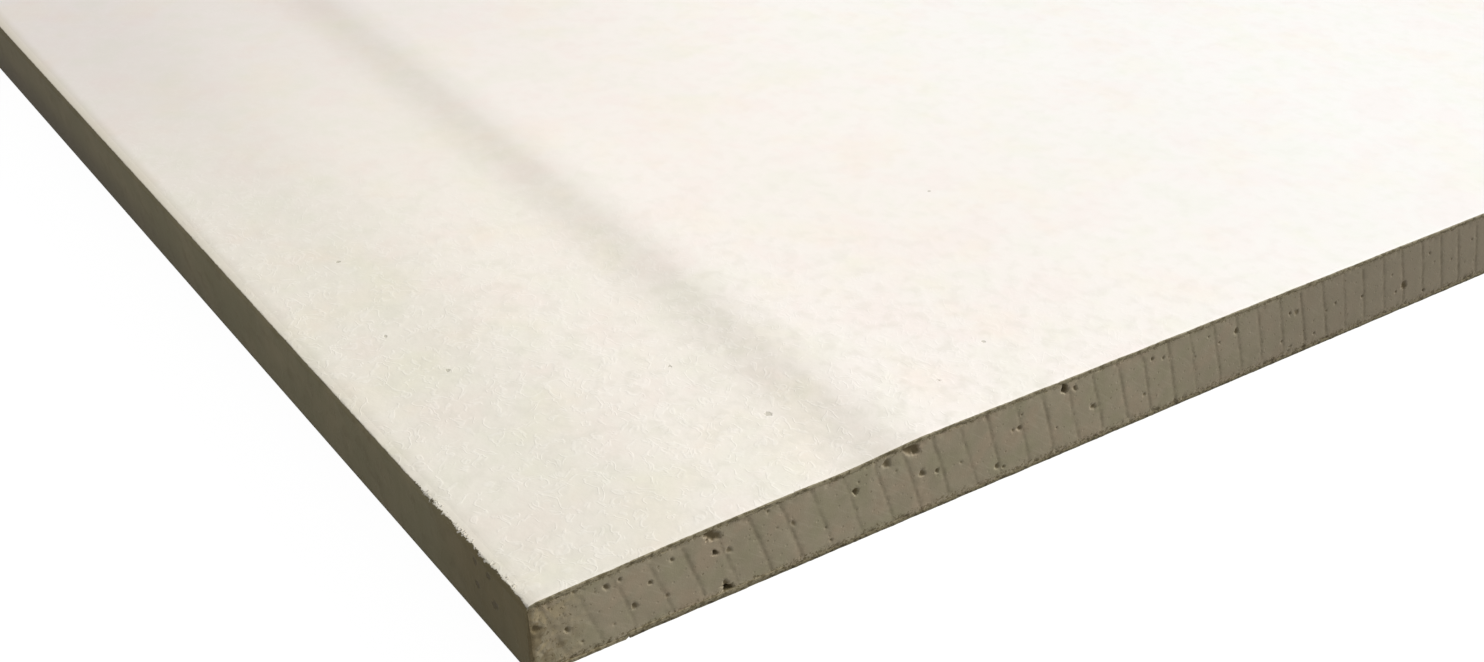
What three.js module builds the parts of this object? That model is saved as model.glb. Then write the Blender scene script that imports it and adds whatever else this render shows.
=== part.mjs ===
// A sheet of drywall with two tapered long edges, lying face up.
// A foamed gypsum core is wrapped in a face paper, which folds round both long edges and laps under
// the back. A back paper is glued over the laps, which are pressed up so that the back lies flush. The
// two short ends are cut square and show the core.
// Millimetres, +Z up. X runs across the sheet, Y along it, and the origin is under its middle.
import * as THREE from "three";

// The sheet
const SHEET_WIDTH = 1219.2; // 48 in, between the face's two long edges
const SHEET_LENGTH = 2438.4; // 96 in
const SHEET_THICKNESS = 12.7; // 1/2 in, in the flat field between the tapers

// The papers
const FACE_PAPER_THICKNESS = 0.4;
const BACK_PAPER_THICKNESS = 0.4;
const FACE_PAPER_LAP = 36; // how far the face paper reaches in under the back, from the long edge
const BACK_PAPER_MARGIN = 14; // from the long edge to the edge of the back paper
const LAP_JOGGLE_WIDTH = 0.6; // how far the lap takes to climb from the flush margin onto the back paper

// The tapered long edge: a shallow recess for tape and compound, and a shoulder up to the field
const EDGE_THICKNESS = 10.9;
const RECESS_WIDTH = 43; // from the long edge to the foot of the shoulder
const RECESS_THICKNESS = 11.95; // at the foot of the shoulder
const RECESS_RISE_WIDTH = 29; // the part of the recess that still climbs
const SHOULDER_WIDTH = 15;
const SHOULDER_FOOT_EASE = 6.5; // how far the shoulder takes to leave the recess
const SHOULDER_CREST_EASE = 5; // how far it takes to reach the field

// The fold of the paper at the long edge
const EDGE_LEAN = THREE.MathUtils.degToRad(6); // the face overhangs the back
const FACE_ARRIS_RADIUS = 0.6;
const BACK_ARRIS_RADIUS = 0.8;

const CURVE_STEPS = 12; // straight steps in each curve of the section

// Fold centres of the right-hand edge. Both papers and the core turn round these same two points.
const faceFold = new THREE.Vector2(
  SHEET_WIDTH / 2 - FACE_ARRIS_RADIUS,
  EDGE_THICKNESS - FACE_ARRIS_RADIUS,
);
const backFold = new THREE.Vector2(
  faceFold.x +
    (FACE_ARRIS_RADIUS -
      BACK_ARRIS_RADIUS +
      (BACK_ARRIS_RADIUS - faceFold.y) * Math.sin(EDGE_LEAN)) /
      Math.cos(EDGE_LEAN),
  BACK_ARRIS_RADIUS,
);

const lapEndX = SHEET_WIDTH / 2 - FACE_PAPER_LAP;
const backPaperEdgeX = SHEET_WIDTH / 2 - BACK_PAPER_MARGIN;

// The line of the right-hand lap at a depth under the sheet's surface: from its end, over the back
// paper, and down the joggle to the margin that lies flush.
function lapLine(depth) {
  return [
    new THREE.Vector2(lapEndX, BACK_PAPER_THICKNESS + depth),
    new THREE.Vector2(backPaperEdgeX, BACK_PAPER_THICKNESS + depth),
    new THREE.Vector2(backPaperEdgeX + LAP_JOGGLE_WIDTH, depth),
  ];
}

// The line of the right-hand edge at a depth under the sheet's surface: from the back, round both
// folds, along the recess and up the shoulder to the field.
function edgeLine(depth) {
  const recessFootX = SHEET_WIDTH / 2 - RECESS_WIDTH;
  const crestX = recessFootX - SHOULDER_WIDTH;
  const recessHeight = RECESS_THICKNESS - depth;
  const fieldHeight = SHEET_THICKNESS - depth;
  const line = new THREE.Path();
  line.absarc(backFold.x, backFold.y, BACK_ARRIS_RADIUS - depth, -Math.PI / 2, -EDGE_LEAN);
  line.absarc(faceFold.x, faceFold.y, FACE_ARRIS_RADIUS - depth, -EDGE_LEAN, Math.PI / 2);
  line.quadraticCurveTo(
    SHEET_WIDTH / 2 - RECESS_RISE_WIDTH,
    recessHeight,
    recessFootX,
    recessHeight,
  );
  line.bezierCurveTo(
    recessFootX - SHOULDER_FOOT_EASE,
    recessHeight,
    crestX + SHOULDER_CREST_EASE,
    fieldHeight,
    crestX,
    fieldHeight,
  );
  return line.getPoints(CURVE_STEPS);
}

// The lap and edge on both sides, from under the right-hand edge, over the face, to under the left.
function wrapLine(depth) {
  const right = [...lapLine(depth), ...edgeLine(depth)];
  const left = right.map(({ x, y }) => new THREE.Vector2(-x, y)).reverse();
  return [...right, ...left];
}

// A section in X and Z, run along the whole length of the sheet.
function sheetLayer(name, section, material) {
  const geometry = new THREE.ExtrudeGeometry(new THREE.Shape(section), {
    depth: SHEET_LENGTH,
    bevelEnabled: false,
  });
  const layer = new THREE.Mesh(geometry, material);
  layer.name = name;
  layer.rotation.x = Math.PI / 2;
  layer.position.y = SHEET_LENGTH / 2;
  return layer;
}

const coreLine = wrapLine(FACE_PAPER_THICKNESS);

// The core fills the fold of the face paper, and its back is stepped for the two laps.
function gypsumCore() {
  const section = [
    ...coreLine,
    new THREE.Vector2(-lapEndX, BACK_PAPER_THICKNESS),
    new THREE.Vector2(lapEndX, BACK_PAPER_THICKNESS),
  ];
  const gypsum = new THREE.MeshStandardMaterial({ color: 0xb3a995, roughness: 0.95, metalness: 0 });
  return sheetLayer("gypsum_core", section, gypsum);
}

function facePaper() {
  const section = [...wrapLine(0), ...coreLine.toReversed()];
  const ivoryPaper = new THREE.MeshStandardMaterial({ color: 0xefe8dc, roughness: 0.9, metalness: 0 });
  return sheetLayer("face_paper", section, ivoryPaper);
}

function backPaper() {
  const section = [
    new THREE.Vector2(-backPaperEdgeX, 0),
    new THREE.Vector2(backPaperEdgeX, 0),
    new THREE.Vector2(backPaperEdgeX, BACK_PAPER_THICKNESS),
    new THREE.Vector2(-backPaperEdgeX, BACK_PAPER_THICKNESS),
  ];
  const greyPaper = new THREE.MeshStandardMaterial({ color: 0x8f8674, roughness: 0.92, metalness: 0 });
  return sheetLayer("back_paper", section, greyPaper);
}

const drywallSheet = new THREE.Group();
drywallSheet.add(gypsumCore(), facePaper(), backPaper());

export default drywallSheet;
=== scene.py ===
"""A sheet of drywall with two tapered long edges, lying face up on a plain floor.

The gypsum core, the face paper that folds round both long edges and the back paper are three pieces.
Metres, +Z up. X runs across the sheet, Y along it, and the origin is under its middle.
"""
import math
import random

import bmesh
import bpy
from mathutils import Matrix, Vector, noise


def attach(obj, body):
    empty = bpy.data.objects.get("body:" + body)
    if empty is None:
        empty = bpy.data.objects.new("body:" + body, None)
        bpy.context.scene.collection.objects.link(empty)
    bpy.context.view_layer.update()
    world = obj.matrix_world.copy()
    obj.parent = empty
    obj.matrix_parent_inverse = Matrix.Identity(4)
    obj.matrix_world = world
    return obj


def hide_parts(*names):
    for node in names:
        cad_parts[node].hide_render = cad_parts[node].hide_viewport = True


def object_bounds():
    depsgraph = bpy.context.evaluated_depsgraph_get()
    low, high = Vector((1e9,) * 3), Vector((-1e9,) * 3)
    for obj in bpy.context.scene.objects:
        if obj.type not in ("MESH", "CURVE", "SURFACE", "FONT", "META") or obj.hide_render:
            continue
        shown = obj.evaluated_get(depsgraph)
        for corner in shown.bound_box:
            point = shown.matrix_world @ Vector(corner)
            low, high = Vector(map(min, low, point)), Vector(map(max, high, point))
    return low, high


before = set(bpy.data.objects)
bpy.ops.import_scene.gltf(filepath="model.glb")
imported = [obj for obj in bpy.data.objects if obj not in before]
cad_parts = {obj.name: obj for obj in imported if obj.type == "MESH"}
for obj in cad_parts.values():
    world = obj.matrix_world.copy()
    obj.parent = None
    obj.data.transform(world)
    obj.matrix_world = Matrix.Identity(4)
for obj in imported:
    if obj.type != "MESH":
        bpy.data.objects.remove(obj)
cad_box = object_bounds()

MM = 0.001

# The sheet, from the frame
LOW, HIGH = cad_box
HALF_WIDTH = (HIGH[0] - LOW[0]) / 2
HALF_LENGTH = (HIGH[1] - LOW[1]) / 2
THICKNESS = HIGH[2] - LOW[2]

# The papers
PAPER = 0.4 * MM
LAP = 36 * MM  # how far the face paper reaches in under the back
BACK_MARGIN = 14 * MM  # from the long edge to the edge of the back paper
LAP_JOGGLE = 0.6 * MM  # how far the lap takes to climb onto the back paper

# The tapered long edge
EDGE_THICKNESS = 10.9 * MM
RISE_WIDTH = 29 * MM  # the part of the recess that climbs
RECESS_WIDTH = 43 * MM
RECESS_THICKNESS = 11.95 * MM
SHOULDER_WIDTH = 15 * MM
SHOULDER_EASE = 6 * MM  # how far each bend of the shoulder is eased
RISE_EASE = 14 * MM
EDGE_LEAN = math.radians(6)  # the face overhangs the back
FACE_ARRIS = 0.6 * MM
BACK_ARRIS = 0.8 * MM
BEND_STEPS = 8
SHARP = math.radians(35)  # an edge that turns more than this is drawn sharp

# How near counts as the same, in metres
SAME_PLACE = 0.001 * MM  # vertices this near each other are one
ON_PLANE = 1e-6  # a vertex this near a plane stands on it
CUT_SLACK = 1e-7  # a cut this near a vertex goes through it

# The cut ends
CORE_SINK = 0.12 * MM  # the cut core stands a hair behind the papers' cut edges
GRAIN = 0.6 * MM  # the height of an end's facets, and their width where it is seen close
HALVINGS = (1.0 * MM, 0.5 * MM)  # how near a feature they are halved, each time
CRUMBLED_WIDTH = 8 * MM  # from the long edge, where all are halved
RIM_BAND = 0.8 * MM  # along the rims, where they are halved once
RIM_REACH = 0.7 * MM  # a halving that reaches this far takes in the rims
CLOSE_WIDTH = 262 * MM  # the part of the near end that is seen close, from the long edge
COARSE_COLUMN = 6 * MM  # the facets' width on the rest of the near end
FAR_COLUMN = 3 * MM  # and on the far end
BUCKET = 4 * MM  # features are looked up by the stretch of the end that they are in
HOLLOW_SIDES = range(-1, 2)  # a hollow reaches into these neighbours of its own stretch
MARK_SIDES = range(-3, 3)  # and a mark, which leans, into these
TORN = 0.16 * MM  # how far the papers' cut edges are torn back
PRESSED = 0.13 * MM  # how far the saw presses the face paper's cut edge down
TORN_MOST = 1.6  # neither goes past this many times its usual depth
TORN_COLUMN = 0.5 * MM
TORN_STRIP = 0.4 * MM

# The long edges' arrises, worn near the near end
WORN_LENGTH = 165 * MM
WORN_WIDTH = 1.5 * MM  # in from the edge
WORN_STEP = 0.7 * MM
WORN_DEPTH = 0.12 * MM
ARRIS_REACH = 1.2 * MM  # what is this near the arris belongs to it

# The tips of the four corners, pressed in
BRUISE_REACH = 1.9 * MM
BRUISE_DEPTH = 0.2 * MM

# The fibres that stand out from an arris near each corner. Where they are thickest is given in
# millimetres from the cut end, more than once where there are more of them
FRAYED_LENGTH = 23 * MM
TUFTS = 90  # at each corner
TUFT_SPOTS = (4.5, 9.0, 14.5, 14.5, 14.5, 18.0, 21.5, 21.5)
TUFT_SPREAD = 1.1
TUFT_LENGTHS = (0.35, 0.9)
TUFT_WIDTHS = (0.05, 0.11)
TUFT_INSET = 0.18 * MM
TUFT_DROP = 0.09  # millimetres under the face, at the most
TUFT_CLEAR = 1.5  # millimetres from the cut end, at the least
TUFT_POINT = 0.2  # the width of its tip, as a share of its root's
TUFT_FLATNESS = 0.4
TUFT_TURN = 0.9  # radians to either side
TUFT_DIP = 0.5  # radians, at the most

# The saw marks that cross a cut end
FIRST_MARK = 6.2 * MM
MARK_PITCH = 4.75 * MM
MARK_LEAN = math.tan(math.radians(24))
MARK_DEPTH = 0.05 * MM
MARK_WIDTH = 0.44 * MM
MARK_BOW = 0.12 * MM
MARK_SWAY = 0.22 * MM
MARK_JITTER = 0.2  # millimetres to either side of its even place
MARK_STRENGTHS = (0.55, 1.0)
MARK_LOWEST = (0.2, 1.0)  # millimetres above the back
MARK_HIGHEST = (11.6, 13.4)
WEAK_WIDTH = 24 * MM  # from the long edge, where the marks are weaker
WEAK_MARK = 0.75
SCRATCH_TURN = math.radians(-35)  # how far the fine scratches between them are turned

# How deep the cut grain is, in millimetres
BROAD_GRAIN = 0.03
FINE_GRAIN = 0.025
CRUMBLE = 0.3
CRUMBLE_REACH = 1.3  # from a rim
CORNER_ROUGHNESS = 0.15
CORNER_REACH = 11 * MM  # from the long edge

# The hollows that air left in the core where the near end is cut. Those that stand out are listed:
# how far from the long edge, how high, what radius and how deep, in millimetres
FAINT = 0.15
SHALLOW = 0.3
DEEP = 0.65
DARKEST = 1.2
LARGE_HOLLOWS = (
    (1.5, 7.0, 0.55, SHALLOW),
    (5.5, 5.0, 0.35, SHALLOW),
    (10.5, 9.0, 0.45, SHALLOW),
    (14.5, 4.5, 0.45, SHALLOW),
    (16.5, 7.0, 0.35, SHALLOW),
    (19.0, 4.0, 0.35, FAINT),
    (24.5, 10.5, 0.75, DEEP),
    (25.5, 10.0, 0.6, SHALLOW),
    (25.5, 7.5, 0.4, DARKEST),
    (27.5, 7.0, 0.45, FAINT),
    (27.5, 2.0, 0.5, SHALLOW),
    (28.0, 1.0, 0.75, DARKEST),
    (37.0, 7.0, 0.4, FAINT),
    (46.5, 8.0, 0.55, DEEP),
    (51.0, 10.5, 0.65, SHALLOW),
    (54.5, 11.5, 1.0, DEEP),
    (55.5, 11.0, 0.8, DEEP),
    (57.5, 6.5, 0.5, SHALLOW),
    (60.0, 6.0, 0.35, SHALLOW),
    (71.0, 2.5, 0.5, SHALLOW),
    (74.0, 7.5, 0.45, SHALLOW),
    (81.5, 11.0, 0.75, DARKEST),
    (83.5, 10.5, 0.4, SHALLOW),
    (88.0, 6.0, 0.5, SHALLOW),
    (116.0, 9.0, 0.5, SHALLOW),
    (129.5, 8.0, 0.5, FAINT),
    (156.5, 4.5, 0.75, SHALLOW),
)
HOLLOW_SINK = 0.7  # the share of that depth that the mesh is sunk
HOLLOW_TONE = 0.4  # how dark the painted shade in the shallowest is, as a share of the darkest
HOLLOW_LIP = 1.25  # the lip's reach, in radii from the middle
LIP_DEPTH = 0.15  # how deep the lip goes, as a share of the depth
SMALL_HOLLOWS = 88  # scattered over the part of the near end that is seen close
SMALL_HOLLOW_RADII = (0.12, 0.30)
SMALL_HOLLOW_PLACES = (2 * MM, CLOSE_WIDTH)  # from the long edge
SMALL_HOLLOW_HEIGHTS = (1.0, 10.6)
SMALL_HOLLOW_DEPTHS = (0.4, 0.9)  # in radii

SEED = 41


# ---------------------------------------------------------------- shader maths


class Value:
    """A socket with the arithmetic of the Math nodes."""

    def __init__(self, paint, socket):
        self.paint = paint
        self.socket = socket

    def _math(self, operation, *others):
        return self.paint.add("ShaderNodeMath", {"operation": operation}, *others)

    def __add__(self, other):
        return self._math("ADD", self, other)

    __radd__ = __add__

    def __sub__(self, other):
        return self._math("SUBTRACT", self, other)

    def __rsub__(self, other):
        return self._math("SUBTRACT", other, self)

    def __mul__(self, other):
        return self._math("MULTIPLY", self, other)

    __rmul__ = __mul__

    def __abs__(self):
        return self._math("ABSOLUTE", self)

    def at_least(self, other):
        return self._math("MAXIMUM", self, other)

    def to_nearest(self, pitch):
        """Distance to the nearest whole number of pitches."""
        return self._math("PINGPONG", self, pitch / 2)

    def ramp(self, start, end, low=0.0, high=1.0):
        """Goes from low at start to high at end, eased at both."""
        settings = {"interpolation_type": "SMOOTHSTEP"}
        return self.paint.add("ShaderNodeMapRange", settings, self, start, end, low, high)


class Paint:
    """A material's nodes. add() makes any node and gives its first output, or the one that is named."""

    def __init__(self, name):
        self.material = bpy.data.materials.new(name)
        self.material.use_nodes = True
        self.tree = self.material.node_tree
        self.tree.nodes.clear()

    def add(self, kind, settings, *values, out=0, **named):
        node = self.tree.nodes.new(kind)
        for key, value in settings.items():
            setattr(node, key, value)
        for key, value in [*enumerate(values), *named.items()]:
            socket = node.inputs[key.replace("_", " ") if isinstance(key, str) else key]
            if isinstance(value, Value):
                self.tree.links.new(value.socket, socket)
            elif value is not None:
                socket.default_value = value
        return Value(self, node.outputs[out])

    def mix(self, factor, first, second, blend="MIX"):
        """One colour over another."""
        node = self.tree.nodes.new("ShaderNodeMix")
        node.data_type = "RGBA"
        node.blend_type = blend
        for index, value in ((0, factor), (6, first), (7, second)):
            if isinstance(value, Value):
                self.tree.links.new(value.socket, node.inputs[index])
            else:
                node.inputs[index].default_value = value
        return Value(self, node.outputs[2])

    def place(self, turn=(0, 0, 0), scale=(1, 1, 1)):
        """Object coordinates in millimetres, turned and then stretched."""
        spot = self.add("ShaderNodeTexCoord", {}, out="Object")
        turned = self.add("ShaderNodeMapping", {}, spot, None, turn)
        sized = tuple(s / MM for s in scale)
        return self.add("ShaderNodeMapping", {}, turned, None, None, sized)

    def axes(self):
        """Object coordinates in millimetres, as three values."""
        spot = self.add("ShaderNodeSeparateXYZ", {}, self.place())
        node = spot.socket.node
        return tuple(Value(self, node.outputs[i]) for i in range(3))

    def cloud(self, where, size, detail=3.0, rough=0.55, warp=0.0):
        """Noise with blotches of about this size, in millimetres."""
        return self.add(
            "ShaderNodeTexNoise", {}, where, None, 1.0 / size, detail, rough, None, None, None, warp
        )

    def cells(self, where, size):
        """Distance to the nearest of points this many millimetres apart or so, as a share of that."""
        return self.add("ShaderNodeTexVoronoi", {}, where, Scale=1.0 / size)

    def kept(self, name):
        """A value stored on the mesh."""
        return self.add("ShaderNodeAttribute", {"attribute_name": name}, out="Fac")

    def bump(self, height, strength, distance):
        return self.add("ShaderNodeBump", {}, Strength=strength, Distance=distance, Height=height)

    def finish(self, colour, roughness, normal, specular=0.3):
        shader = self.add(
            "ShaderNodeBsdfPrincipled", {}, Base_Color=colour, Roughness=roughness, Normal=normal
        )
        shader.socket.node.inputs["Specular IOR Level"].default_value = specular
        return self.surface(shader)

    def surface(self, shader):
        output = self.tree.nodes.new("ShaderNodeOutputMaterial")
        self.tree.links.new(shader.socket, output.inputs["Surface"])
        return self.material


def colour(red, green, blue):
    """A colour as it is read off a screen, 0 to 255, as light."""
    def light(level):
        share = level / 255
        return share / 12.92 if share <= 0.04045 else ((share + 0.055) / 1.055) ** 2.4
    return (light(red), light(green), light(blue), 1.0)


# ---------------------------------------------------------------- meshes


def new_piece(name, bm, node, material):
    """Makes the mesh an object that rides with the sheet and stands for its node."""
    for edge in bm.edges:
        edge.smooth = not (edge.is_manifold and edge.calc_face_angle() > SHARP)
    for face in bm.faces:
        face.smooth = True
    mesh = bpy.data.meshes.new(name)
    bm.to_mesh(mesh)
    bm.free()
    piece = bpy.data.objects.new(name, mesh)
    bpy.context.scene.collection.objects.link(piece)
    mesh.materials.append(material)
    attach(piece, "root")
    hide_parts(node)


def section_bends(depth):
    """The bends of the sheet's section from its field to the back of one long edge, this deep inside it.

    Each is (across, up, ease): ease is how far the bend is rounded off on each side of its corner.
    """
    foot_x = HALF_WIDTH - RECESS_WIDTH
    crest_x = foot_x - SHOULDER_WIDTH
    fold_z = EDGE_THICKNESS - FACE_ARRIS
    face_radius = FACE_ARRIS - depth
    back_radius = BACK_ARRIS - depth
    side_x = HALF_WIDTH - FACE_ARRIS + face_radius / math.cos(EDGE_LEAN)
    top_x = side_x + face_radius * math.tan(EDGE_LEAN)
    low_x = side_x - (fold_z - depth) * math.tan(EDGE_LEAN)
    quarter = math.pi / 4
    return (
        (crest_x + SHOULDER_EASE / 2, THICKNESS - depth, SHOULDER_EASE / 2),
        (foot_x - SHOULDER_EASE / 2, RECESS_THICKNESS - depth, SHOULDER_EASE / 2),
        (HALF_WIDTH - RISE_WIDTH, RECESS_THICKNESS - depth, RISE_EASE),
        (top_x, EDGE_THICKNESS - depth, face_radius * math.tan(quarter + EDGE_LEAN / 2)),
        (low_x, depth, back_radius * math.tan(quarter - EDGE_LEAN / 2)),
    )


def lap_corners(depth):
    """The corners of the lap under one long edge, this deep inside it, from its flush margin inwards."""
    back_edge = HALF_WIDTH - BACK_MARGIN
    return (
        (back_edge + LAP_JOGGLE, depth),
        (back_edge, PAPER + depth),
        (HALF_WIDTH - LAP, PAPER + depth),
    )


def face_height(x):
    """How high the top of the core stands at a place across the sheet."""
    edge = HALF_WIDTH - abs(x)
    if edge < RISE_WIDTH:
        return EDGE_THICKNESS + (RECESS_THICKNESS - EDGE_THICKNESS) * edge / RISE_WIDTH - PAPER
    share = min(1, max(0, (edge - RECESS_WIDTH) / SHOULDER_WIDTH))
    climb = share * share * (3 - 2 * share)
    return RECESS_THICKNESS + (THICKNESS - RECESS_THICKNESS) * climb - PAPER


def ease_bends(bm, bends):
    """Rounds off the lengthwise edges that stand at each (across, up, ease)."""
    for across, up, ease in bends:
        found = [
            edge
            for edge in bm.edges
            if edge.calc_length() > HALF_LENGTH
            and all(
                abs(abs(vert.co.x) - across) < ON_PLANE and abs(vert.co.z - up) < ON_PLANE
                for vert in edge.verts
            )
        ]
        bmesh.ops.bevel(
            bm,
            geom=found,
            offset=ease,
            offset_type="OFFSET",
            segments=BEND_STEPS,
            profile=0.5,
            affect="EDGES",
            material=-1,
        )
    bmesh.ops.remove_doubles(bm, verts=bm.verts, dist=SAME_PLACE)


def moved_verts(made):
    """The vertices among what an extrusion made."""
    return [item for item in made["geom"] if isinstance(item, bmesh.types.BMVert)]


def whole(faces):
    """These faces with their edges and vertices."""
    edges = {edge for face in faces for edge in face.edges}
    verts = {vert for face in faces for vert in face.verts}
    return [*verts, *edges, *faces]


def cut_at(bm, geom, place, normal):
    """Cuts the geometry with one plane, and gives what it then is."""
    made = bmesh.ops.bisect_plane(bm, geom=geom, dist=CUT_SLACK, plane_co=place, plane_no=normal)
    return list(set(made["geom"] + made["geom_cut"]))


def cut_across(bm, geom, start, end, step, axis):
    """Cuts the geometry with planes square to an axis, this far apart."""
    normal = Vector((axis == 0, axis == 1, axis == 2))
    for index in range(round((end - start) / step) + 1):
        geom = cut_at(bm, geom, normal * (start + index * step), normal)
    return geom


def cut_columns(bm, faces, near_end, close_column):
    """Cuts an end's faces into columns: fine near the corner that is seen close, and coarse elsewhere."""
    first = -HALF_WIDTH + MM
    if near_end:
        close = CLOSE_WIDTH - HALF_WIDTH
        geom = cut_across(bm, whole(faces), first, close, close_column, 0)
        cut_across(bm, geom, close + COARSE_COLUMN, -first, COARSE_COLUMN, 0)
    else:
        cut_across(bm, whole(faces), first, -first, FAR_COLUMN, 0)


# ---------------------------------------------------------------- the core's cut ends


def scatter_hollows(seed):
    """Small bubbles over the close part of a cut end, as (across, up, radius, depth)."""
    draw = random.Random(seed)
    hollows = []
    for _ in range(SMALL_HOLLOWS):
        across = -HALF_WIDTH + draw.uniform(*SMALL_HOLLOW_PLACES)
        up = draw.uniform(*SMALL_HOLLOW_HEIGHTS) * MM
        radius = draw.uniform(*SMALL_HOLLOW_RADII) * MM
        hollows.append((across, up, radius, radius * draw.uniform(*SMALL_HOLLOW_DEPTHS)))
    return hollows


def near_hollows():
    """The large hollows of the near end, with its small ones."""
    large = [
        (-HALF_WIDTH + across * MM, up * MM, radius * MM, depth * MM)
        for across, up, radius, depth in LARGE_HOLLOWS
    ]
    return large + scatter_hollows(SEED)


def saw_marks(seed):
    """The marks that cross the close part of an end.

    Each is (where it meets the back, strength, lowest, highest).
    """
    draw = random.Random(seed)
    marks = []
    across = FIRST_MARK
    while across < CLOSE_WIDTH:
        spot = across - HALF_WIDTH + draw.uniform(-MARK_JITTER, MARK_JITTER) * MM
        strength = draw.uniform(*MARK_STRENGTHS) * (1 if across > WEAK_WIDTH else WEAK_MARK)
        lowest = draw.uniform(*MARK_LOWEST) * MM
        highest = draw.uniform(*MARK_HIGHEST) * MM
        marks.append((spot, strength, lowest, highest))
        across += MARK_PITCH
    return marks


def hollow_share(away):
    """How deep a round hollow is, as a share, this many of its radii from its middle."""
    if away >= HOLLOW_LIP:
        return 0.0
    if away >= 1:
        return LIP_DEPTH * (HOLLOW_LIP - away) / (HOLLOW_LIP - 1)
    return LIP_DEPTH + (1 - LIP_DEPTH) * math.sqrt(1 - away * away)


def uneven(x, z, scale, layer):
    """Noise over an end, about -1 to 1. Each layer is its own."""
    return noise.noise(Vector((x * scale, z * scale, layer)))


def mark_line(spot, z):
    """Where a mark is at a height: it leans, and bends a little."""
    sway = MARK_SWAY * noise.noise(Vector((spot * 900, 0, z * 160)))
    bow = MARK_BOW * math.sin(math.pi * z / THICKNESS)
    return spot - z * MARK_LEAN + sway + bow


def mark_depth(x, z, marks):
    """How deep the saw marks are at a point of the end, as a share of the deepest."""
    deepest = 0.0
    for spot, strength, lowest, highest in marks:
        away = abs(x - mark_line(spot, z))
        if away < MARK_WIDTH * 1.8 and lowest < z < highest:
            fade = min(1, (z - lowest) / MM, (highest - z) / MM)
            fade *= 0.8 + 0.4 * noise.noise(Vector((spot * 500, 3, z * 500)))
            across = math.exp(-((away / MARK_WIDTH) ** 2) * 1.6)
            deepest = max(deepest, strength * max(0, fade) * across)
    return deepest


def grain_depth(x, z, inward):
    """How deep the cut grain is at a point of the end: fine all over, crumbled at its rims and corners."""
    fine = 1 + uneven(x, z, 1500, inward)
    broad = 1 + uneven(x, z, 400, inward)
    edge_gap = HALF_WIDTH - abs(x)
    rim = min(face_height(x) - z, z - PAPER, edge_gap * 0.35) / MM
    crumble = max(0.0, 1 - rim / CRUMBLE_REACH) * max(0.0, uneven(x, z, 1100, 7 + inward) - 0.05)
    corner = max(0.0, 1 - edge_gap / CORNER_REACH)
    rough = corner * max(0.0, uneven(x, z, 620, 11 + inward))
    return (BROAD_GRAIN * broad + FINE_GRAIN * fine + CRUMBLE * crumble + CORNER_ROUGHNESS * rough) * MM


def by_bucket(features, shifts):
    """The features of an end by the stretch that each starts in and its neighbours to these sides."""
    buckets = {}
    for feature in features:
        for shift in shifts:
            buckets.setdefault(int(feature[0] / BUCKET) + shift, []).append(feature)
    return buckets


def hollow_at(x, z, hollows):
    """How deep the hollows are at a point of the end, and how dark their painted shade is."""
    sunk = dark = 0.0
    for across, up, radius, deep in hollows:
        wobble = 1 + 0.5 * noise.noise(Vector((x * 2000, z * 2000, across * 300)))
        aslant = x - across + (z - up) * MARK_LEAN
        share = hollow_share(math.hypot(aslant * 1.15, (z - up) * 0.9) * wobble / radius)
        sunk = max(sunk, deep * share * HOLLOW_SINK)
        dark = max(dark, share * min(1.0, HOLLOW_TONE + 0.5 * deep / MM))
    return sunk, dark


def rough_end(verts, inward, hollows, marks, layers):
    """Sinks an end's vertices: cut grain, saw marks and hollows. Keeps what each is for the paint."""
    mark_layer, hollow_layer, under_layer = layers
    near_hollow = by_bucket(hollows, HOLLOW_SIDES)
    near_mark = by_bucket(marks, MARK_SIDES)
    for vert in verts:
        x, _, z = vert.co
        bucket = int(x / BUCKET)
        mark = mark_depth(x, z, near_mark.get(bucket, ()))
        sunk, dark = hollow_at(x, z, near_hollow.get(bucket, ()))
        vert[mark_layer] = mark
        vert[hollow_layer] = dark
        vert[under_layer] = (face_height(x) - z) / MM
        vert.co.y += inward * (grain_depth(x, z, inward) + MARK_DEPTH * mark + sunk)


def end_faces(bm, end):
    """The faces of the core's cut end."""
    y = end * (HALF_LENGTH - CORE_SINK)
    return [face for face in bm.faces if all(abs(vert.co.y - y) < ON_PLANE for vert in face.verts)]


def refine(bm, end, near):
    """Halves the edges of an end's faces near a feature, twice."""
    for reach in HALVINGS:
        chosen = [face for face in end_faces(bm, end) if near(face.calc_center_median(), reach)]
        edges = list({edge for face in chosen for edge in face.edges})
        bmesh.ops.subdivide_edges(bm, edges=edges, cuts=1, use_grid_fill=True)


def tidy_faces(bm, end):
    """Takes out points that join only two edges, then splits an end's many-sided faces into triangles."""
    bmesh.ops.dissolve_verts(bm, verts=[vert for vert in bm.verts if len(vert.link_edges) == 2])
    many_sided = [face for face in end_faces(bm, end) if len(face.verts) > 4]
    bmesh.ops.triangulate(bm, faces=many_sided, quad_method="BEAUTY", ngon_method="BEAUTY")


def feature_test(hollows, marks):
    """A function that says whether a point of the end is near a hollow, a mark, a rim or the corner."""
    near_hollow = by_bucket(hollows, HOLLOW_SIDES)
    near_mark = by_bucket(marks, MARK_SIDES)

    def near(point, reach):
        x, z = point.x, point.z
        if x > CLOSE_WIDTH - HALF_WIDTH:
            return False
        rim = min(face_height(x) - z, z - PAPER)
        if x < CRUMBLED_WIDTH - HALF_WIDTH or (reach > RIM_REACH and rim < RIM_BAND):
            return True
        bucket = int(x / BUCKET)
        for across, up, radius, _ in near_hollow.get(bucket, ()):
            if math.hypot(x - across, z - up) < radius + reach * 0.5:
                return True
        for spot, _, lowest, highest in near_mark.get(bucket, ()):
            if lowest < z < highest and abs(x - mark_line(spot, z)) < 0.25 * MM + reach * 0.4:
                return True
        return False

    return near


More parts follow.
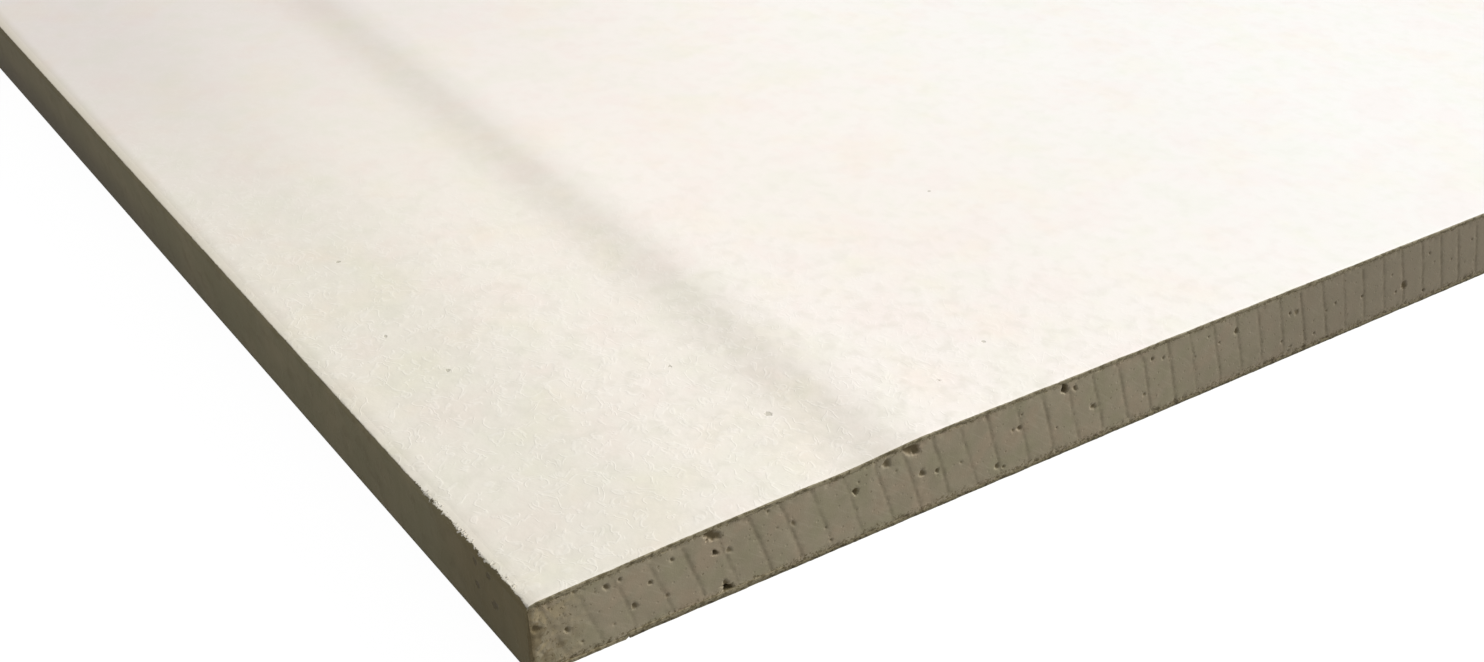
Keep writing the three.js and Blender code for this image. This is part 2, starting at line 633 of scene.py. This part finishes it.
def gypsum_core(material):
    """The core: its section run along the sheet, with both cut ends worked."""
    bm = bmesh.new()
    bends = section_bends(PAPER)
    right = [(x, z) for x, z, _ in bends] + [*lap_corners(PAPER), (HALF_WIDTH - LAP, PAPER)]
    left = [(-x, z) for x, z in reversed(right)]
    near_y = CORE_SINK - HALF_LENGTH
    section = bm.faces.new([bm.verts.new((x, near_y, z)) for x, z in left + right])
    made = bmesh.ops.extrude_face_region(bm, geom=[section])
    bmesh.ops.translate(bm, verts=moved_verts(made), vec=(0, -2 * near_y, 0))
    bmesh.ops.recalc_face_normals(bm, faces=bm.faces)
    ease_bends(bm, bends)
    layers = tuple(bm.verts.layers.float.new(name) for name in ("saw_mark", "hollow", "under_face"))
    for end in (-1, 1):
        near_end = end < 0
        hollows = near_hollows() if near_end else ()
        marks = saw_marks(SEED + 3) if near_end else ()
        cut_across(bm, whole(end_faces(bm, end)), GRAIN, THICKNESS - GRAIN, GRAIN, 2)
        cut_columns(bm, end_faces(bm, end), near_end, GRAIN)
        if near_end:
            refine(bm, end, feature_test(hollows, marks))
        tidy_faces(bm, end)
        verts = list({vert for face in end_faces(bm, end) for vert in face.verts})
        rough_end(verts, -end, hollows, marks, layers)
    new_piece("core", bm, "gypsum_core", material)


# ---------------------------------------------------------------- the papers


def tear_ends(bm):
    """Tears the papers' cut edges back a little and presses the upper one down, unevenly."""
    for vert in bm.verts:
        if abs(vert.co.y) > HALF_LENGTH - ON_PLANE:
            x, y, z = vert.co
            wide = noise.noise(Vector((x * 330, z * 900, y * 5)))
            fine = noise.noise(Vector((x * 1700, z * 2500, y * 9)))
            torn = TORN * min(TORN_MOST, max(0.0, 0.5 + 0.9 * wide + 0.6 * fine)) * (1 if z > MM else 0.5)
            vert.co.y -= math.copysign(torn, y)
            if z > EDGE_THICKNESS - MM:
                broad = noise.noise(Vector((x * 260, y, 4)))
                close = noise.noise(Vector((x * 1400, y, 5)))
                press = 1 + 0.9 * (broad + 0.6 * close)
                vert.co.z -= PRESSED * min(TORN_MOST, max(0.2, press))


def cut_strips(bm):
    """Cuts a paper's ends into the columns that tear_ends moves.

    The strip behind them stays as it is.
    """
    for end in (-1, 1):
        for strips in (1, 2):
            place = Vector((0, end * (HALF_LENGTH - TORN_STRIP * strips), 0))
            cut_at(bm, [*bm.verts, *bm.edges, *bm.faces], place, (0, 1, 0))
        strip = [face for face in bm.faces if face.calc_center_median().y * end > HALF_LENGTH - TORN_STRIP]
        cut_columns(bm, strip, end < 0, TORN_COLUMN)


def wear_arris(bm):
    """Scuffs the long edges' arrises near the near end."""
    for vert in bm.verts:
        x, y, z = vert.co
        along = y + HALF_LENGTH
        on_arris = abs(x) > HALF_WIDTH - ARRIS_REACH and z > EDGE_THICKNESS - ARRIS_REACH
        if on_arris and along < WORN_LENGTH:
            fade = 1 - along / WORN_LENGTH
            scuff = noise.noise(Vector((x * 1500, y * 900, z * 1500)))
            inwards = Vector((-math.copysign(1, x), 0, -0.7))
            vert.co += inwards * (WORN_DEPTH * fade * max(0.0, scuff + 0.1))


def bruise_corners(bm):
    """Presses in the tips of the face paper's four corners."""
    for vert in bm.verts:
        x, y, z = vert.co
        away = math.hypot(HALF_WIDTH - abs(x), HALF_LENGTH - abs(y))
        if away < BRUISE_REACH and z > EDGE_THICKNESS - ARRIS_REACH:
            share = (1 - away / BRUISE_REACH) ** 1.5
            inwards = Vector((-math.copysign(1, x), -math.copysign(1, y), -1.4))
            vert.co += inwards * (BRUISE_DEPTH * share)


def fray_arris(bm, corner_x, corner_y, seed):
    """Adds the fibres that stand out from the arris near a corner: flat, pointed and nearly level."""
    draw = random.Random(seed)
    outwards = math.copysign(1, corner_x)
    for _ in range(TUFTS):
        length = draw.uniform(*TUFT_LENGTHS) * MM
        width = draw.uniform(*TUFT_WIDTHS) * MM
        made = bmesh.ops.create_cone(
            bm, cap_ends=True, segments=6, radius1=width, radius2=width * TUFT_POINT, depth=length
        )
        verts = made["verts"]
        bmesh.ops.rotate(bm, verts=verts, matrix=Matrix.Rotation(outwards * math.pi / 2, 3, "Y"))
        bmesh.ops.scale(bm, verts=verts, vec=(1, 1, TUFT_FLATNESS))
        heading = Matrix.Rotation(draw.uniform(-TUFT_TURN, TUFT_TURN), 3, "Z")
        dip = Matrix.Rotation(outwards * draw.uniform(0.0, TUFT_DIP), 3, "Y")
        bmesh.ops.rotate(bm, verts=verts, matrix=heading @ dip)
        spot = draw.choice(TUFT_SPOTS) + draw.gauss(0, TUFT_SPREAD)
        along = corner_y - math.copysign(max(TUFT_CLEAR, spot) * MM, corner_y)
        across = corner_x - outwards * (TUFT_INSET + length / 2)
        up = EDGE_THICKNESS - draw.uniform(0.0, TUFT_DROP) * MM
        bmesh.ops.translate(bm, verts=verts, vec=(across, along, up))
        for vert in verts:
            vert.co.x = outwards * min(HALF_WIDTH, abs(vert.co.x))


def face_paper(material):
    """The face paper: one sheet that folds round both long edges and laps under the back."""
    bm = bmesh.new()
    bends = section_bends(0.0)
    right = [(x, z) for x, z, _ in bends] + list(lap_corners(0.0))
    left = [(-x, z) for x, z in reversed(right)]
    line = [bm.verts.new((x, -HALF_LENGTH, z)) for x, z in left + right]
    edges = [bm.edges.new(pair) for pair in zip(line, line[1:])]
    made = bmesh.ops.extrude_edge_only(bm, edges=edges)
    bmesh.ops.translate(bm, verts=moved_verts(made), vec=(0, 2 * HALF_LENGTH, 0))
    bmesh.ops.recalc_face_normals(bm, faces=bm.faces)
    if max(bm.faces, key=lambda face: face.calc_area()).normal.z < 0:
        bmesh.ops.reverse_faces(bm, faces=bm.faces)
    ease_bends(bm, bends)
    for side in (-1, 1):
        for guard in (WORN_WIDTH, 2 * WORN_WIDTH):
            place = Vector((side * (HALF_WIDTH - guard), 0, 0))
            cut_at(bm, [*bm.verts, *bm.edges, *bm.faces], place, (1, 0, 0))
    worn = [face for face in bm.faces if abs(face.calc_center_median().x) > HALF_WIDTH - WORN_WIDTH]
    cut_across(bm, whole(worn), WORN_STEP - HALF_LENGTH, WORN_LENGTH - HALF_LENGTH, WORN_STEP, 1)
    cut_strips(bm)
    wear_arris(bm)
    bmesh.ops.solidify(bm, geom=bm.faces[:], thickness=PAPER)
    bmesh.ops.recalc_face_normals(bm, faces=bm.faces)
    tear_ends(bm)
    bruise_corners(bm)
    tufts = bmesh.new()
    for index, (side, end) in enumerate(((-1, -1), (1, -1), (-1, 1), (1, 1))):
        fray_arris(tufts, side * HALF_WIDTH, end * HALF_LENGTH, SEED + index)
    fibres = bpy.data.meshes.new("fibres")
    tufts.to_mesh(fibres)
    tufts.free()
    bm.from_mesh(fibres)
    bpy.data.meshes.remove(fibres)
    new_piece("face_paper_wrap", bm, "face_paper", material)


def back_paper(material):
    """The back paper: a flat sheet over the laps."""
    bm = bmesh.new()
    made = bmesh.ops.create_cube(bm, size=1.0)
    size = (2 * (HALF_WIDTH - BACK_MARGIN), 2 * HALF_LENGTH, PAPER)
    bmesh.ops.scale(bm, verts=made["verts"], vec=size)
    bmesh.ops.translate(bm, verts=made["verts"], vec=(0, 0, PAPER / 2))
    cut_strips(bm)
    tear_ends(bm)
    new_piece("back_paper_sheet", bm, "back_paper", material)


# ---------------------------------------------------------------- finishes


# The cut core's colours
CUT_GYPSUM = colour(165, 154, 130)
CUT_GYPSUM_PALE = colour(172, 161, 137)
CUT_GYPSUM_RED = colour(175, 158, 134)
CUT_GYPSUM_GREEN = colour(162, 155, 127)
CUT_GYPSUM_PAINTED_SHADE = colour(146, 135, 116)
CUT_GYPSUM_DEEPER_PAINTED_SHADE = colour(132, 122, 106)
GRAIN_DARK = colour(152, 141, 115)
GRAIN_PALE = colour(188, 179, 156)
SCRATCH = colour(190, 180, 156)
PORE = colour(112, 101, 76)
SAW_MARK_PAINTED_SHADE = colour(116, 105, 84)
CORNER_BROWN = colour(152, 137, 104)
CRUMB_PALE = colour(184, 167, 130)
CRUMB_DARK = colour(120, 104, 72)
SPECK = colour(104, 91, 62)
RIM_PAINTED_SHADE = colour(114, 101, 74)
RIM_FLECK = colour(204, 190, 150)
HOLLOW_PAINTED_SHADE = colour(117, 103, 74)
HOLLOW_DEEPEST_PAINTED_SHADE = colour(58, 48, 30)


def far_features(paint, where):
    """The saw marks and the bubbles that are painted where the mesh has none, with painted shade and a
    bump, 1 where they are full.
    """
    x, y, z = paint.axes()
    close = CLOSE_WIDTH / MM - HALF_WIDTH / MM
    far = x.ramp(close, close + 1).at_least(y.ramp(-1.0, 1.0))
    sway = paint.cloud(where, 14.0, 2.0, 0.5) * 2.4
    marks = (x + z * MARK_LEAN + sway).to_nearest(MARK_PITCH / MM).ramp(0.1, 0.55, 1.0, 0.0)
    marks = marks * paint.cloud(where, 9.0, 2.0, 0.5).ramp(0.3, 0.6, 0.25, 0.85)
    bubbles = paint.cells(where, 3.6).ramp(0.06, 0.12, 1.0, 0.0)
    bubbles = bubbles * paint.cloud(where, 6.0, 1.0, 0.5).ramp(0.45, 0.55)
    return marks * far, bubbles * far


def gypsum_ground(paint, where, edge, grain, fine):
    """Cut gypsum away from its rims: uneven in hue, finely grained, and darker far from the corner with
    painted shade.
    """
    drift = paint.cloud(where, 14.0, 3.0, 0.6)
    hue = paint.cloud(where, 5.0, 2.0, 0.5)
    scratch = paint.cloud(paint.place((0, SCRATCH_TURN, 0), (0.2, 1, 3)), 1.2, 2.0, 0.5)
    scratched = scratch.ramp(0.56, 0.68) * edge.ramp(70.0, 150.0, 0.22, 0.08)
    base = paint.mix(drift.ramp(0.3, 0.7), CUT_GYPSUM, CUT_GYPSUM_PALE)
    base = paint.mix(hue.ramp(0.5, 0.66) * 0.7, base, CUT_GYPSUM_RED)
    base = paint.mix(hue.ramp(0.5, 0.34) * 0.7, base, CUT_GYPSUM_GREEN)
    # painted shade: the end grows darker further from the corner
    base = paint.mix(edge.ramp(86.0, 150.0) * 0.8, base, CUT_GYPSUM_PAINTED_SHADE)
    base = paint.mix(edge.ramp(165.0, 230.0) * 0.5, base, CUT_GYPSUM_DEEPER_PAINTED_SHADE)
    base = paint.mix(grain.ramp(0.35, 0.7) * 0.25, base, GRAIN_DARK)
    base = paint.mix(fine.ramp(0.55, 0.75) * 0.2, base, GRAIN_PALE)
    return paint.mix(scratched, base, SCRATCH)


def gypsum_rims(paint, where, base, edge, z, fine):
    """Adds the crumbled corner and rims to a colour, with painted shade under the face paper and beside the
    folded paper. Gives it and the dark specks.
    """
    crumbs = paint.cloud(where, 0.5, 3.0, 0.65, 0.6)
    crumbled = paint.cloud(where, 2.4, 3.0, 0.6, 0.6)
    under = paint.kept("under_face")
    top_rim = under.ramp(0.0, 1.1, 1.0, 0.0)
    rim = top_rim.at_least(z.ramp(0.5, 1.8, 1.0, 0.0))
    corner = edge.ramp(2.0, 10.0, 1.0, 0.0)
    base = paint.mix(corner * 0.3, base, CORNER_BROWN)
    base = paint.mix(crumbled.ramp(0.54, 0.62) * corner * 0.5, base, CRUMB_PALE)
    base = paint.mix(crumbled.ramp(0.46, 0.38) * corner * 0.55, base, CRUMB_DARK)
    specks = (crumbs + rim * 0.16 + corner * 0.04).ramp(0.62, 0.70) * rim.at_least(corner).ramp(0.02, 0.4)
    base = paint.mix(specks * 0.65, base, SPECK)
    # painted shade on the core right under the face paper and beside the paper folded down the long edge
    side_gap = edge - (EDGE_THICKNESS / MM - z) * math.tan(EDGE_LEAN) - PAPER / MM
    rim_painted_shade = under.ramp(0.05, 0.4, 0.65, 0.0).at_least(side_gap.ramp(0.1, 0.7, 0.75, 0.0))
    base = paint.mix(rim_painted_shade, base, RIM_PAINTED_SHADE)
    flecks = (fine + top_rim * 0.12).ramp(0.60, 0.68) * top_rim.ramp(0.1, 0.7)
    return paint.mix(flecks * 0.5, base, RIM_FLECK), specks


def gypsum_finish():
    """Sawn gypsum: grey-beige, finely grained, with painted shade in its hollows and marks, crumbly at its
    rims.
    """
    paint = Paint("cut gypsum")
    where = paint.place()
    x, _, z = paint.axes()
    edge = HALF_WIDTH / MM - abs(x)
    grain = paint.cloud(where, 0.9, 4.0, 0.7)
    fine = paint.cloud(where, 0.22, 2.0, 0.6)
    far_marks, far_bubbles = far_features(paint, where)
    mark = paint.kept("saw_mark").at_least(far_marks)
    # how much painted shade the hollows get, with the bubbles painted where the mesh has none
    hollow = paint.kept("hollow").at_least(far_bubbles)
    pores = paint.cells(where, 1.1).ramp(0.10, 0.20, 1.0, 0.0)
    base = gypsum_ground(paint, where, edge, grain, fine)
    base = paint.mix(pores * grain.ramp(0.5, 0.6) * 0.5, base, PORE)
    # painted shade in the saw marks' shallow grooves
    base = paint.mix(mark * 0.5, base, SAW_MARK_PAINTED_SHADE)
    base, specks = gypsum_rims(paint, where, base, edge, z, fine)
    # painted shade in the hollows, near black in the deepest
    base = paint.mix(hollow.ramp(0.05, 0.6) * 0.85, base, HOLLOW_PAINTED_SHADE)
    base = paint.mix(hollow.ramp(0.75, 0.95) * 0.9, base, HOLLOW_DEEPEST_PAINTED_SHADE)
    height = grain * 0.4 + fine * 0.3 - pores * 0.5 - specks * 0.5 - far_marks * 0.5 - far_bubbles * 2.0
    return paint.finish(base, 0.9, paint.bump(height, 0.4, 0.1 * MM), 0.2)


# Flecks in the face paper, listed: how far from the long edge, how far from the cut end and
# what radius, in millimetres
# Each fleck is a small dent, with a bump and a grey spot of painted shade
FLECKS = (
    (43.5, 14.5, 0.6),
    (11.5, 54.5, 0.4),
    (14.5, 43.5, 0.35),
    (39.0, 29.5, 0.3),
    (66.5, 8.5, 0.3),
    (78.0, 12.5, 0.3),
    (100.0, 48.5, 0.4),
    (14.5, 74.5, 0.35),
)
# Dents in the fold at the corner, listed: how far from the cut end, how high and what radius
DENTS = (
    (7.0, 6.0, 0.75),
    (7.5, 5.5, 0.6),
    (11.0, 6.0, 0.7),
    (8.0, 9.5, 0.6),
    (11.0, 9.5, 0.7),
)
DENT_REACH = 2.0  # in from the long edge


def fleck_mask(paint, where):
    """1 on a fleck or a dent, 0 elsewhere."""
    x, _, z = paint.axes()
    ragged = paint.cloud(where, 0.5, 2.0, 0.6)
    from_above = paint.place((0, 0, 0), (1, 1, 0))
    from_beside = paint.place((0, 0, 0), (0, 1, 1))
    on_face = z.ramp(EDGE_THICKNESS / MM - 1, EDGE_THICKNESS / MM - 0.5)
    on_fold = (x + HALF_WIDTH / MM).ramp(DENT_REACH - 0.5, DENT_REACH, 1.0, 0.0)
    spots = [
        (from_above, (across - HALF_WIDTH / MM, along - HALF_LENGTH / MM, 0), radius, on_face)
        for across, along, radius in FLECKS
    ]
    spots += [
        (from_beside, (0, along - HALF_LENGTH / MM, up), radius, on_fold)
        for along, up, radius in DENTS
    ]
    mask = None
    for flat, spot, radius, limit in spots:
        away = paint.add("ShaderNodeVectorMath", {"operation": "DISTANCE"}, flat, spot, out="Value")
        fleck = (away + ragged * 0.8 - 0.4).ramp(radius * 0.5, radius, 1.0, 0.0) * limit
        mask = fleck if mask is None else mask.at_least(fleck)
    return mask


# The face paper's colours: its face, its side, its flecks and dents, and its cut edge
# The ivories darken from the field to the long edge: partly the paper's own tone, partly painted shade
# where the light falls off towards the edge
RIM_IVORY_AND_SHADE = colour(237, 231, 218)
RIM_IVORY_AWAY_AND_SHADE = colour(229, 220, 213)
RECESS_IVORY_AND_SHADE = colour(246, 239, 228)
CREST_IVORY_AND_SHADE = colour(253, 246, 238)
FIELD_IVORY = colour(255, 253, 249)
RECESS_PAINTED_SHADE_AWAY = colour(226, 219, 215)
# painted shade for the band along the taper's shoulder
SHOULDER_PAINTED_SHADE = colour(229, 221, 208)
BLOTCH = colour(244, 238, 230)
PINK_TINT = (1.0, 0.962, 0.965, 1)
GREEN_TINT = (0.965, 0.99, 0.955, 1)
YELLOW_TINT = (1.0, 0.99, 0.945, 1)
MOTTLE = colour(224, 219, 205)
STRAND = colour(254, 251, 244)
ARRIS_DARKENING = colour(205, 197, 176)
# the side's grey-brown: partly a browner paper, partly painted shade for the side that faces away from the
# light
CORNER_SIDE_BROWN_AND_SHADE = colour(122, 112, 82)
CORNER_SIDE_PALE_BROWN_AND_SHADE = colour(131, 118, 87)
SIDE_BROWN_AND_SHADE = colour(138, 130, 101)
SIDE_PALE_BROWN_AND_SHADE = colour(150, 139, 110)
SIDE_AWAY = colour(118, 107, 86)
SIDE_MOTTLE = colour(112, 100, 72)
# painted shadow low on the side and along its foot, where it meets the floor
SIDE_LOW_PAINTED_SHADOW = colour(88, 78, 64)
SIDE_FOOT_PAINTED_SHADOW = colour(84, 76, 56)
FOLD_TOP_PAINTED_SHADE = colour(96, 88, 66)
FACE_DENT_PAINTED_SHADE = colour(165, 160, 138)
FOLD_DENT_PAINTED_SHADE = colour(64, 54, 36)
CUT_FACE = colour(150, 140, 114)
CUT_FACE_DARK = colour(110, 100, 74)
CUT_FOLD = colour(94, 81, 53)

# The back paper's colours
BACK = colour(132, 122, 98)
BACK_PALE = colour(142, 131, 106)
BACK_FIBRE = colour(98, 87, 60)
CUT_BACK = colour(130, 121, 96)
CUT_BACK_DARK = colour(78, 70, 51)


def cut_edge(y):
    """1 on a paper's cut edges, 0 elsewhere."""
    return abs(y).ramp(HALF_LENGTH / MM - 0.26, HALF_LENGTH / MM - 0.20)


def ivory_ground(paint, where, edge, end, mottle, pink):
    """The face before its fibres show: palest on the field, and darker in the recess and away from the end,
    partly as the paper's own tone and partly as painted shade.
    """
    blotch = paint.cloud(where, 60.0, 3.0, 0.55)
    yellow = paint.cloud(paint.place((0, 0, 0.6)), 13.0, 3.0, 0.55)
    # painted shade: the recess and the field beside it darker away from the cut end
    away = end.ramp(60.0, 190.0) * edge.ramp(130.0, 40.0, 0.0, 0.75)
    # painted shade: a darker band along the taper's shoulder, where its slope turns away from the lamp
    shoulder = edge.ramp(40.0, 49.5) * edge.ramp(55.0, 51.0) * mottle.ramp(0.2, 0.6, 0.7, 1.2)
    base = paint.mix(end.ramp(50.0, 260.0), RIM_IVORY_AND_SHADE, RIM_IVORY_AWAY_AND_SHADE)
    base = paint.mix(edge.ramp(14.0, 34.0), base, RECESS_IVORY_AND_SHADE)
    base = paint.mix(edge.ramp(48.0, 62.0), base, CREST_IVORY_AND_SHADE)
    base = paint.mix(edge.ramp(62.0, 180.0), base, FIELD_IVORY)
    base = paint.mix(away, base, RECESS_PAINTED_SHADE_AWAY)
    base = paint.mix(shoulder * 0.32, base, SHOULDER_PAINTED_SHADE)
    base = paint.mix(blotch.ramp(0.4, 0.65) * 0.12, base, BLOTCH)
    base = paint.mix(pink.ramp(0.50, 0.66) * 0.65, base, PINK_TINT, "MULTIPLY")
    base = paint.mix(pink.ramp(0.50, 0.34) * 0.65, base, GREEN_TINT, "MULTIPLY")
    return paint.mix(yellow.ramp(0.48, 0.66) * 0.65, base, YELLOW_TINT, "MULTIPLY")


def side_brown_and_shade(paint, edge, end, z, mottle, pink, crumple):
    """The side and the laps: grey-brown, partly a browner paper and partly painted shade for the side that
    faces away from the light; darker with painted shadow at its foot and low down, with painted shade at
    its top, and darker away from the cut end.
    """
    fold = EDGE_THICKNESS / MM
    outer = edge.ramp(1.6, 2.4, 1.0, 0.0)
    # painted shadow: the lower side darker away from the cut end
    low = end.ramp(60.0, 150.0) * z.ramp(1.0, 8.0, 0.65, 0.0) * outer
    # painted shadow along the side's foot, patchy
    foot = z.ramp(0.3, 1.4, 1.0, 0.0) * outer
    # painted shade on the frayed teeth that reach onto the top near the arris, so they read as dark as the
    # shaded side
    top = edge.ramp(0.2, 0.5) * z.ramp(fold - 0.7, fold - 0.4)
    at_corner = paint.mix(pink.ramp(0.35, 0.7), CORNER_SIDE_BROWN_AND_SHADE, CORNER_SIDE_PALE_BROWN_AND_SHADE)
    side = paint.mix(pink.ramp(0.35, 0.7), SIDE_BROWN_AND_SHADE, SIDE_PALE_BROWN_AND_SHADE)
    side = paint.mix(end.ramp(9.0, 26.0), at_corner, side)
    side = paint.mix(end.ramp(80.0, 180.0) * 0.4, side, SIDE_AWAY)
    side = paint.mix(mottle.ramp(0.5, 0.75) * 0.35, side, SIDE_MOTTLE)
    side = paint.mix(low, side, SIDE_LOW_PAINTED_SHADOW)
    side = paint.mix(foot * crumple.ramp(0.35, 0.6), side, SIDE_FOOT_PAINTED_SHADOW)
    return paint.mix(top, side, FOLD_TOP_PAINTED_SHADE)


def cut_face_colour(paint, where, edge, z):
    """The face paper's cut edge: patchy, and darker round the fold."""
    fold = EDGE_THICKNESS / MM
    torn = paint.cloud(where, 0.7, 3.0, 0.7)
    fold_side = edge.ramp(1.6, 2.2, 1.0, 0.0) * z.ramp(fold - 1.2, fold - 0.7, 1.0, 0.0)
    patchy = paint.mix(torn.ramp(0.46, 0.6), CUT_FACE, CUT_FACE_DARK)
    return paint.mix(fold_side * 0.9, patchy, CUT_FOLD)


def face_paper_finish():
    """Ivory paper: faintly fibrous, blotched, flecked with painted shade in small dents, and grey-brown
    where it is folded down the long edge, partly a browner paper and partly painted shade.
    """
    paint = Paint("ivory face paper")
    where = paint.place()
    x, y, z = paint.axes()
    edge = HALF_WIDTH / MM - abs(x)
    end = HALF_LENGTH / MM - abs(y)
    pink = paint.cloud(where, 10.0, 3.0, 0.6)
    mottle = paint.cloud(where, 2.6, 3.0, 0.5, 0.2)
    crumple = paint.cloud(where, 0.8, 3.0, 0.6, 0.5)
    strand = paint.cloud(where, 2.4, 2.0, 0.5, 0.8)
    patch = paint.cloud(where, 2.4, 1.0, 0.5)
    handled = (edge + end).ramp(55.0, 160.0, 1.0, 0.25)
    base = ivory_ground(paint, where, edge, end, mottle, pink)
    base = paint.mix(mottle.ramp(0.45, 0.70) * handled * 0.34, base, MOTTLE)
    strands = abs(strand - 0.5).ramp(0.0, 0.06, 1.0, 0.0) * patch.ramp(0.44, 0.52, 0.0, 1.0) * handled
    base = paint.mix(strands * 0.18, base, STRAND)
    # darker within 3 mm of the long edge, more so away from the cut end
    near_arris_darker = edge.ramp(0.5, 3.0, 1.0, 0.0) * end.ramp(30.0, 130.0, 0.22, 0.65)
    base = paint.mix(near_arris_darker, base, ARRIS_DARKENING)
    frayed = end.ramp(FRAYED_LENGTH / MM, FRAYED_LENGTH / MM + 6, 1.0, 0.12)
    teeth = (paint.cloud(where, 0.7, 3.0, 0.7) - 0.5) * frayed * end.ramp(2.0, 11.0, 0.3, 1.0)
    fold = EDGE_THICKNESS / MM
    wrapped = (edge + teeth * 1.6).ramp(0.34, 0.48, 1.0, 0.0)
    wrapped = wrapped.at_least(z.ramp(fold - 1.0, fold - 0.6, 1.0, 0.0))
    base = paint.mix(wrapped, base, side_brown_and_shade(paint, edge, end, z, mottle, pink, crumple))
    fleck = fleck_mask(paint, where)
    # painted shade in the small dents of the face and of the fold
    base = paint.mix(fleck * 0.5, base, paint.mix(wrapped, FACE_DENT_PAINTED_SHADE, FOLD_DENT_PAINTED_SHADE))
    base = paint.mix(cut_edge(y), base, cut_face_colour(paint, where, edge, z))
    height = mottle * 1.2 + crumple * 0.1 + strands * 0.23 - fleck * 1.0
    return paint.finish(base, 0.75, paint.bump(height * handled, 0.4, 0.16 * MM), 0.25)


def back_paper_finish():
    """Grey-brown recycled paper with visible fibres, patchier where it is cut."""
    paint = Paint("brown back paper")
    where = paint.place()
    _, y, _ = paint.axes()
    blotch = paint.cloud(where, 40.0, 3.0, 0.55)
    fibre = paint.cloud(where, 0.9, 4.0, 0.7, 1.5)
    ragged = paint.cloud(where, 0.6, 3.0, 0.7)
    base = paint.mix(blotch.ramp(0.35, 0.65), BACK, BACK_PALE)
    base = paint.mix(fibre.ramp(0.5, 0.75) * 0.6, base, BACK_FIBRE)
    torn = paint.mix(ragged.ramp(0.44, 0.62), CUT_BACK, CUT_BACK_DARK)
    base = paint.mix(cut_edge(y), base, torn)
    return paint.finish(base, 0.85, paint.bump(fibre, 0.3, 0.08 * MM), 0.2)


# ---------------------------------------------------------------- floor, light and camera


FLOOR_REACH = 30.0  # metres, each way
FLOOR_GLOW = 0.965
FLOOR_WHITE = 0.10  # what the floor gives back of the light on it, as the eye sees it
FLOOR_GREY = 0.30  # and as it lights the sheet's edges


def floor_finish():
    """White to the eye, with the sheet's soft shadow on it, and a plain grey to the light."""
    paint = Paint("pale floor")
    path = paint.add("ShaderNodeLightPath", {}, out="Is Camera Ray")
    seen = path
    for kind in ("Glossy", "Transmission"):
        seen = seen.at_least(Value(paint, path.socket.node.outputs[f"Is {kind} Ray"]))
    plain = paint.add("ShaderNodeBsdfDiffuse", {}, (FLOOR_GREY, FLOOR_GREY, FLOOR_GREY, 1))
    shaded = paint.add("ShaderNodeBsdfDiffuse", {}, (FLOOR_WHITE, FLOOR_WHITE, FLOOR_WHITE, 1))
    glow = paint.add("ShaderNodeEmission", {}, (1, 1, 1, 1), FLOOR_GLOW)
    bright = paint.add("ShaderNodeAddShader", {}, shaded, glow)
    return paint.surface(paint.add("ShaderNodeMixShader", {}, seen, plain, bright))


def floor():
    """A wide level floor, which is no part of the sheet."""
    bm = bmesh.new()
    bmesh.ops.create_grid(bm, x_segments=1, y_segments=1, size=FLOOR_REACH)
    mesh = bpy.data.meshes.new("floor")
    bm.to_mesh(mesh)
    bm.free()
    mesh.materials.append(floor_finish())
    ground = bpy.data.objects.new("floor", mesh)
    bpy.context.scene.collection.objects.link(ground)


AMBIENT = 0.40
KEY_SHARE = 0.59  # of full light on a level surface
KEY_TOWARDS = Vector((1.6, -0.38, 1.0))
KEY_SPREAD = math.radians(20)


def lights():
    """A white surround that lights softly, and one large lamp from the right."""
    world = bpy.data.worlds.new("studio")
    bpy.context.scene.world = world
    world.use_nodes = True
    tree = world.node_tree
    tree.nodes.clear()
    path = tree.nodes.new("ShaderNodeLightPath")
    dim = tree.nodes.new("ShaderNodeBackground")
    dim.inputs["Strength"].default_value = AMBIENT
    white = tree.nodes.new("ShaderNodeBackground")
    white.inputs["Strength"].default_value = 1.0
    for shade in (dim, white):
        shade.inputs["Color"].default_value = (1, 1, 1, 1)
    mixed = tree.nodes.new("ShaderNodeMixShader")
    output = tree.nodes.new("ShaderNodeOutputWorld")
    tree.links.new(path.outputs["Is Camera Ray"], mixed.inputs[0])
    tree.links.new(dim.outputs[0], mixed.inputs[1])
    tree.links.new(white.outputs[0], mixed.inputs[2])
    tree.links.new(mixed.outputs[0], output.inputs["Surface"])
    towards = KEY_TOWARDS.normalized()
    sun = bpy.data.lights.new("key", "SUN")
    sun.energy = math.pi * KEY_SHARE / towards.z
    sun.angle = KEY_SPREAD
    lamp = bpy.data.objects.new("key", sun)
    lamp.rotation_euler = towards.to_track_quat("Z", "Y").to_euler()
    bpy.context.scene.collection.objects.link(lamp)


FRAME_WIDTH = 36.0  # millimetres, like the lens
LENS = 44.79
HEADING = math.radians(-38.98)  # from +Y, anticlockwise as seen from above
RISE = math.radians(-32.262)
ROLL = math.radians(4.912)
# The camera's place is given from a point on the floor, this far in from the near left corner
POINT_INSET = 1.40 * MM
FROM_POINT = Vector((-79.90, -129.75, 143.00)) * MM


def camera():
    """Looks down on the near left corner, close to, with no depth of field."""
    lens = bpy.data.cameras.new("camera")
    lens.sensor_width = FRAME_WIDTH
    lens.lens = LENS
    lens.clip_start = 0.005
    lens.clip_end = 100
    eye = bpy.data.objects.new("camera", lens)
    turn = (
        Matrix.Rotation(HEADING, 4, "Z")
        @ Matrix.Rotation(math.pi / 2 + RISE, 4, "X")
        @ Matrix.Rotation(ROLL, 4, "Z")
    )
    point = Vector((-HALF_WIDTH + POINT_INSET, -HALF_LENGTH, 0.0))
    eye.matrix_world = Matrix.Translation(point + FROM_POINT) @ turn
    bpy.context.scene.collection.objects.link(eye)
    bpy.context.scene.camera = eye


bpy.context.scene.view_settings.view_transform = "Standard"
camera()
lights()
floor()
gypsum_core(gypsum_finish())
face_paper(face_paper_finish())
back_paper(back_paper_finish())
